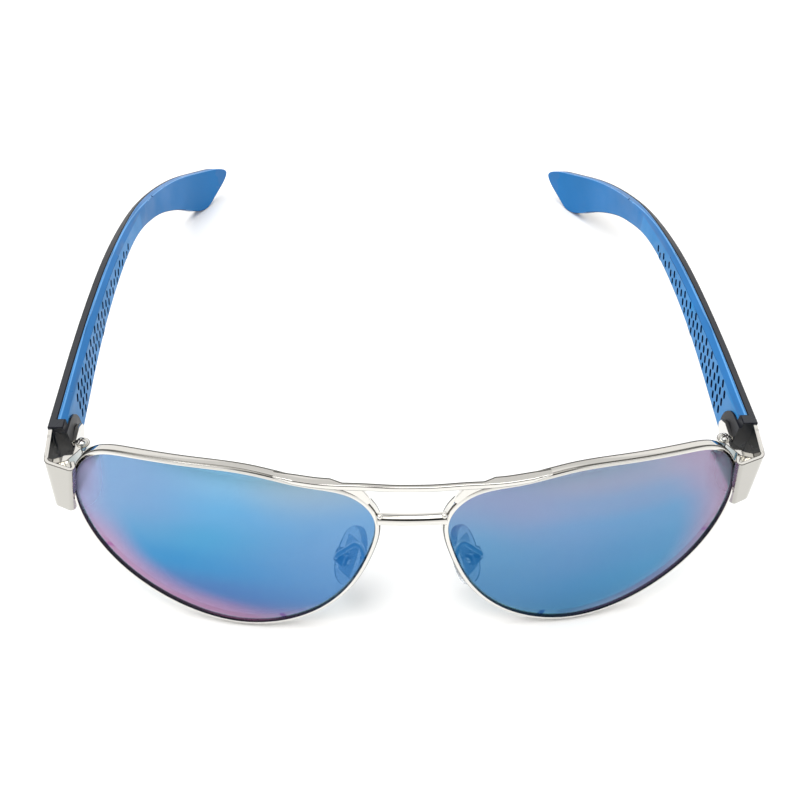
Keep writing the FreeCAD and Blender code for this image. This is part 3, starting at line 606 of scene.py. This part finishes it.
# ---------------------------------------------------------------- the front's own pieces
# each coat's colours by position: partly the coat's own hue, partly painted reflections of the surroundings
left_coat = coating("left_mirror_coat", [
    (4, (0.050, 0.145, 0.410)), (12, (0.042, 0.148, 0.430)), (20, (0.064, 0.142, 0.430)),
    (27, (0.100, 0.155, 0.450)), (32, (0.195, 0.155, 0.410)), (37, (0.330, 0.170, 0.350)),
], ((22, 22), (38.5, 25), 0.15, (0.45, 0.16, 0.33)),
    [((13, 33), (13, 9), 0.6, (0.230, 0.130, 0.360)), ((12, 20), (14, 10), 0.7, (0.012, 0.150, 0.430))],
    (0.60, (0.28, 0.22, 0.33)), (0.330, 0.500, 0.570))
right_coat = coating("right_mirror_coat", [
    (4, (0.180, 0.080, 0.370)), (11, (0.060, 0.085, 0.430)), (18, (0.006, 0.170, 0.540)),
    (25, (0.020, 0.230, 0.570)), (31, (0.080, 0.265, 0.630)), (37, (0.190, 0.330, 0.650)),
], ((-26, 28.5), (35, 22.5), 0.16, (0.56, 0.19, 0.42)),
    [((-13, 38), (15, 8), 0.6, (0.42, 0.36, 0.42)), ((-61, 36), (16, 12), 0.7, (0.20, 0.23, 0.54)),
     ((-12, 21), (20, 14), 0.8, (0.020, 0.180, 0.530))], (0.88, (0.36, 0.34, 0.54)), (0.370, 0.500, 0.570))
back = smoke("lens_body", (0.9, 0.95, 0.92))
# near-black on the lens's edge wall: painted shade
wall = shader("lens_edge_painted_shade", (0.004, 0.010, 0.035), 0.3)
for side, coat in ((1, left_coat), (-1, right_coat)):
    lens(side, [coat, back, wall])
for side in (1, -1):
    rim(side)
brow_bar()
bridge()


# ---------------------------------------------------------------- pieces that follow a CAD node
RIM_PASS = (0.11, 1, 1, 70)     # how the edges of small holes are rounded
EDGE_STEPS = 3
STRAY_SHARE, STRAY_LEAST = 0.45, 0.03       # usual stray of a rounded edge: a share of its width, or more


def round_edges(name, passes, loose):
    """A copy of a CAD node's mesh with its sharp edges bevelled, and how far it strays from the node.

    Each pass has a test for the points it takes, or None, a width in millimetres, a number of
    steps, the number of the new faces' finish, or -1, and the least angle of a sharp edge. Unless
    it is loose, the bevel's width is held back to what the shortest edge allows.
    """
    work = bmesh.new()
    work.from_mesh(nodes[name].data)
    bmesh.ops.remove_doubles(work, verts=work.verts, dist=2e-6)
    bmesh.ops.dissolve_limit(work, angle_limit=math.radians(0.6), verts=work.verts, edges=work.edges)
    surface = BVHTree.FromBMesh(work)
    for chosen, offset, segments, finish, least in passes:
        sharp = [e for e in work.edges if e.is_manifold and e.calc_face_angle(0) > math.radians(least)
                 and (chosen is None or all(chosen(v.co) for v in e.verts))]
        bmesh.ops.bevel(work, geom=sharp, offset=offset * MM, offset_type="OFFSET", segments=segments,
                        profile=0.5, affect="EDGES", clamp_overlap=not loose, material=finish)
    return work, max(surface.find_nearest(v.co)[3] for v in work.verts)


def softened(name, piece_name, finish, width, keep=None, shaded=None, edge=-1, under=-1, rims=None,
             slack=0.0):
    """A copy of a CAD node's mesh whose sharp edges are rounded, as moulding and polishing leave them.

    keep picks the points whose edges are rounded, and shaded gives a face the number of its
    finish. edge is the finish of the rounded edges themselves, by its number, when it differs, and
    under the finish of those that look down; on most pieces these are a painted dark reflection, a
    painted highlight or a painted shade. rims picks the points round small holes, whose edges
    are rounded first and shaded like the holes. Where the rounding strays from the node by more
    than slack, in millimetres, and more than is usual for its width, it is held back.
    """
    passes = [(rims, *RIM_PASS)] if rims else []
    passes.append((keep, width, EDGE_STEPS, edge, 38))
    work, stray = round_edges(name, passes, True)
    if stray > max(STRAY_SHARE * width, STRAY_LEAST, slack) * MM:
        work.free()
        work = round_edges(name, passes, False)[0]
    data = bpy.data.meshes.new(piece_name)
    work.to_mesh(data)
    work.free()
    for tone in finish if isinstance(finish, tuple) else (finish,):
        data.materials.append(tone)
    for polygon in data.polygons:
        if rims and polygon.material_index == 1:
            continue
        if edge < 0 or polygon.material_index != edge:
            polygon.material_index = int(shaded(polygon)) if shaded else 0
        elif under >= 0 and polygon.normal.z < -0.2:
            polygon.material_index = under
    data.shade_smooth()
    data.set_sharp_from_angle(angle=math.radians(42))
    item = bpy.data.objects.new(piece_name, data)
    scene.collection.objects.link(item)
    weigh = item.modifiers.new("weigh", "WEIGHTED_NORMAL")
    weigh.keep_sharp = True
    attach(item, body_of[name])
    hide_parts(name)
    return item


body_of = {node: body for body, names in frame["record"]["behaviour"]["bodies"].items() for node in names}

# the temple's outline from the side, Y from the lens apex and Z, in millimetres
SIDE = [
    (20.0, 35.8), (42.0, 35.2), (63.8, 34.2), (84.0, 32.7), (99.5, 30.4), (112.0, 27.7), (123.7, 24.4),
    (136.0, 20.4), (147.0, 16.4), (156.0, 12.9), (160.6, 10.9), (162.6, 8.8), (161.4, 5.7), (157.6, 2.2),
    (154.2, 0.05), (151.2, 0.6), (146.0, 4.1), (136.0, 10.8), (126.0, 16.2), (116.2, 20.2), (105.0, 24.0),
    (93.7, 26.2), (78.0, 27.1), (60.7, 27.0), (42.0, 25.9), (20.0, 24.3),
]
side_line = (smooth(SIDE)(np.linspace(0, 1, 1500)) + (FRONT_Y, 0)) * MM
# where the perforations, the boss, the endpiece's front panel and its wall end, and its flange
SLOTS_START, SLOTS_END = (FRONT_Y + 29) * MM, (FRONT_Y + 99) * MM
BOSS_END, BOSS_X = (FRONT_Y + 31) * MM, 70.5 * MM
PANEL_END, WALL_END = (FRONT_Y + 13.2) * MM, (FRONT_Y + 19) * MM
FLANGE_X, FLANGE_FOOT = 70.3 * MM, 24.0 * MM


def from_outline(y, z):
    """How far a point lies from the temple's outline, seen from the side."""
    return np.min(np.hypot(side_line[:, 0] - y, side_line[:, 1] - z))


def on_side_line(co):
    """True for a point of a temple's long outer edges."""
    return from_outline(co.y, co.z) < 0.2 * MM


def depth_under(name):
    """A function for how far a point lies under a temple's inner face."""
    points = np.array([v.co for v in nodes[name].data.vertices])
    stops = np.linspace(points[:, 1].min(), points[:, 1].max(), 60)
    level = [np.abs(points[np.abs(points[:, 1] - a) < 1.5 * MM, 0]).min() for a in stops]
    return lambda x, y: abs(x) - np.interp(y, stops, level)


def slot_rims(name):
    """A test for the points of the perforations' outer edges."""
    under = depth_under(name)

    def test(co):
        return (SLOTS_START < co.y < SLOTS_END and under(co.x, co.y) < 0.45 * MM
                and from_outline(co.y, co.z) > 0.8 * MM)
    return test


def off_flange(co):
    """False at the endpiece's rear end and at the foot of its turned edge, which are left sharp."""
    return not (abs(co.x) < FLANGE_X and co.z < FLANGE_FOOT) and co.y < WALL_END


def in_slot(name):
    """A test for the faces inside the perforations: under the inner face, and away from the outline."""
    under = depth_under(name)

    def test(polygon):
        x, y, z = polygon.center
        depth = under(x, y)
        if y > SLOTS_END or from_outline(y, z) < 0.5 * MM:
            return False
        flat = abs(polygon.normal.x)
        return 0.03 * MM < depth < 1.2 * MM and (flat < 0.35 or (flat > 0.9 and depth > 0.4 * MM))
    return test


def endpiece_finish(polygon):
    """1 on the endpiece's turned edge, which faces the lens: a painted reflection of the dark lens; 2 on the
    panel's front: painted shade; 3 on its outer side: painted light.
    """
    side = 1 if polygon.center.x > 0 else -1
    if polygon.normal.x * side < -0.55 and polygon.center.y < PANEL_END:
        return 1
    if polygon.normal.y < -0.45:
        return 2
    return 3 if polygon.normal.x * side > 0.6 else 0


def shell_finish(polygon):
    """1 on the boss behind the hinge, in a darker, duller black: painted shade."""
    return polygon.center.y < BOSS_END and abs(polygon.center.x) < BOSS_X


def inlay_finish(name):
    """0 on the bevels, 1 in the perforations, 2 on the perforated face and 3 on the tip's face; 2 and 3 are
    lighter copies of the blue, painted light.
    """
    slot = in_slot(name)

    def test(polygon):
        if slot(polygon):
            return 1
        if abs(polygon.normal.x) < 0.8:
            return 0
        return 2 if polygon.center.y < SLOTS_END else 3
    return test


def driver_slot(name):
    """A test for the driver slots in a screw's head, which points up."""
    (x0, y0, _), (x1, y1, top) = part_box(name)
    middle = Vector(((x0 + x1) / 2, (y0 + y1) / 2))
    head = (x1 - x0) / 2

    def test(polygon):
        away = (Vector(polygon.center[:2]) - middle).length
        under = top - polygon.center.z
        return under < 0.5 * MM and away < head * 0.8 and (polygon.normal.z < 0.3 or under > 0.33 * MM)
    return test


for name in ("left", "right"):
    # the boss and the shell's rounded outline edges take the painted shade
    softened(f"{name}_temple_shell", f"{name}_shell_gloss", (black, black_painted_shade), 0.22, on_side_line,
             shaded=shell_finish, edge=1)
    inlay = f"{name}_temple_inlay"
    # the inlay's rounded edges take the painted highlight, those that look down the painted shade
    softened(inlay, f"{name}_inlay_satin", (blue, hollow, blue_painted_light_face, blue_painted_light_tip, blue_painted_highlight, blue_painted_shade_under), 0.18,
             on_side_line, shaded=inlay_finish(inlay), edge=4, under=5, rims=slot_rims(inlay),
             slack=0.45)
    # the endpiece's darker front, brighter side and dim turned edge are painted shade, light and reflection
    softened(f"{name}_endpiece", f"{name}_endpiece_polished", (chrome, flange_painted_reflection, panel, outer_side_painted_light, dark_edge_reflection),
             0.14, off_flange, shaded=endpiece_finish, edge=4, slack=0.15)
    for part, width in (("front_hinge", 0.12), ("temple_hinge", 0.12), ("lock_upper", 0.12), ("lock_lower", 0.12),
                        ("pad_arm", 0.05)):
        # their rounded edges take the dark metal: a painted dark reflection
        softened(f"{name}_{part}", f"{name}_{part}_polished", (chrome, dark_edge_reflection), width, edge=1)
    softened(f"{name}_nose_pad", f"{name}_nose_pad_soft", clear, 0.35)
    softened(f"{name}_pad_core", f"{name}_pad_core_moulded", clear, 0.15)
    # the pad box's body takes the painted dark reflection, its rounded edges plain chrome
    softened(f"{name}_pad_box", f"{name}_pad_box_polished", (pad_box_painted_reflection, chrome), 0.14, edge=1)
    for part in ("hinge_screw", "lock_screw", "pad_screw"):
        node = f"{name}_{part}"
        test = None if part == "pad_screw" else driver_slot(node)
        # the driver slots of the hinge and lock screws take the dark metal: painted shade
        softened(node, f"{node}_turned", (steel, groove), 0.05, shaded=test)

# ---------------------------------------------------------------- floor and light
FLOOR_HALF, FLOOR_DROP = 6.0, 0.0001
floor_mesh = bpy.data.meshes.new("floor")
corners = [(x * FLOOR_HALF, y * FLOOR_HALF, 0) for x, y in ((-1, -1), (1, -1), (1, 1), (-1, 1))]
floor_mesh.from_pydata(corners, [], [(0, 1, 2, 3)])
floor = bpy.data.objects.new("floor", floor_mesh)
floor.location.z = -FLOOR_DROP
floor_mesh.materials.append(shader("floor", (0.965, 0.965, 0.96), 0.7, Specular_IOR_Level=0.1))
scene.collection.objects.link(floor)


# direction, cosine where it is full, cosine where it fades out, brightness
DARK_PATCHES = [
    ((0.0, -0.75, 0.66), 0.975, 0.92, 0.03),
    ((0.0, 0.62, 0.78), 0.985, 0.95, 0.35),
]
HORIZON = (0.40, 0.56)      # sines of the dark band's lower and upper edge
HORIZON_TONE = 0.12
ROOM_LIGHT = 1.08
BACKDROP = 1.05             # brightness of what the camera sees past the floor


def studio():
    """A bright soft room with a dark front, where the onlooker stands, and a low dark horizon."""
    world = bpy.data.worlds.new("studio")
    scene.world = world
    world.use_nodes = True
    tree = world.node_tree
    background = tree.nodes["Background"]
    direction = tree.nodes.new("ShaderNodeTexCoord").outputs["Generated"]

    def math_node(operation, first, second):
        made = tree.nodes.new("ShaderNodeMath")
        made.operation = operation
        for socket, value in zip(made.inputs, (first, second)):
            if isinstance(value, bpy.types.NodeSocket):
                tree.links.new(value, socket)
            else:
                socket.default_value = value
        return made.outputs[0]

    def fade(value, start, stop, first, last):
        made = tree.nodes.new("ShaderNodeMapRange")
        made.interpolation_type = "SMOOTHSTEP"
        for socket, number in zip(("From Min", "From Max", "To Min", "To Max"), (start, stop, first, last)):
            made.inputs[socket].default_value = number
        tree.links.new(value, made.inputs["Value"])
        return made.outputs["Result"]

    shade = None
    for aim, near, far, tone in DARK_PATCHES:
        dot = tree.nodes.new("ShaderNodeVectorMath")
        dot.operation = "DOT_PRODUCT"
        dot.inputs[1].default_value = Vector(aim).normalized()
        tree.links.new(direction, dot.inputs[0])
        patch = fade(dot.outputs["Value"], far, near, 1.0, tone)
        shade = patch if shade is None else math_node("MULTIPLY", shade, patch)
    split = tree.nodes.new("ShaderNodeSeparateXYZ")
    tree.links.new(direction, split.inputs[0])
    height = split.outputs["Z"]
    low, high = HORIZON
    band = math_node("MAXIMUM", fade(height, low, low + 0.03, 1.0, 0.0), fade(height, high - 0.04, high, 0.0, 1.0))
    ahead = fade(split.outputs["Y"], -0.35, 0.1, HORIZON_TONE, 0.75)
    open_sky = math_node("MULTIPLY", band, math_node("SUBTRACT", 1.0, ahead))
    shade = math_node("MULTIPLY", shade, math_node("ADD", open_sky, ahead))
    seen = tree.nodes.new("ShaderNodeLightPath").outputs["Is Camera Ray"]
    background.inputs["Color"].default_value = (1.0, 0.99, 0.975, 1)
    lit = math_node("MULTIPLY", shade, ROOM_LIGHT)
    strength = math_node("MAXIMUM", lit, math_node("MULTIPLY", seen, BACKDROP))
    tree.links.new(strength, background.inputs["Strength"])


studio()
scene.view_settings.view_transform = "Standard"


def area_light(name, position, target, width, power):
    light = bpy.data.lights.new(name, "AREA")
    light.shape = "SQUARE"
    light.size = width
    light.energy = power
    item = bpy.data.objects.new(name, light)
    item.location = position
    item.rotation_euler = (Vector(target) - Vector(position)).to_track_quat("-Z", "Y").to_euler()
    scene.collection.objects.link(item)


area_light("key", (-0.25, -0.05, 0.9), (0, -0.02, 0), 0.8, 6.0)
